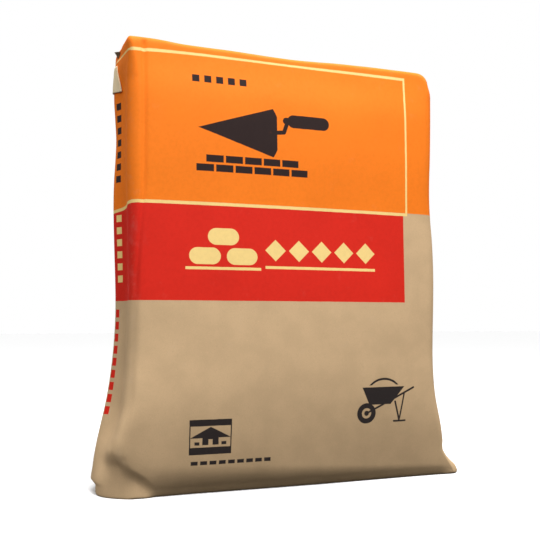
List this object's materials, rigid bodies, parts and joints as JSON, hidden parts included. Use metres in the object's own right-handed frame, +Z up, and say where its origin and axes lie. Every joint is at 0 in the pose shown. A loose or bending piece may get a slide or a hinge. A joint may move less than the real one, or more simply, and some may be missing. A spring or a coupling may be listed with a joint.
{
  "type": "cement bag",
  "caption": "Full paper valve sack of cement standing on its flat bottom end, with pasted block ends and a valve sleeve at the top of one side.",
  "frame": {"origin": "on the floor, below the middle of the box around the standing sack", "axes": "+Z up, -Y out of the printed front panel, +X to the right as one faces the front, so the valve is at -X near the top"},
  "size_m": [0.5044, 0.1454, 0.55],
  "materials": {
    "printed_paper": "uncoated brown kraft paper, flexo printed in orange and red over its upper part",
    "printed_patch": "uncoated kraft paper printed orange",
    "kraft_patch": "uncoated brown kraft paper",
    "sleeve_kraft": "uncoated tan kraft paper, slightly yellower than the sack"
  },
  "bodies": {
    "root": {"paper_sack": "printed_paper", "top_end_patch": "printed_patch", "bottom_end_patch": "kraft_patch", "valve_sleeve": "sleeve_kraft"}
  },
  "joints": []
}
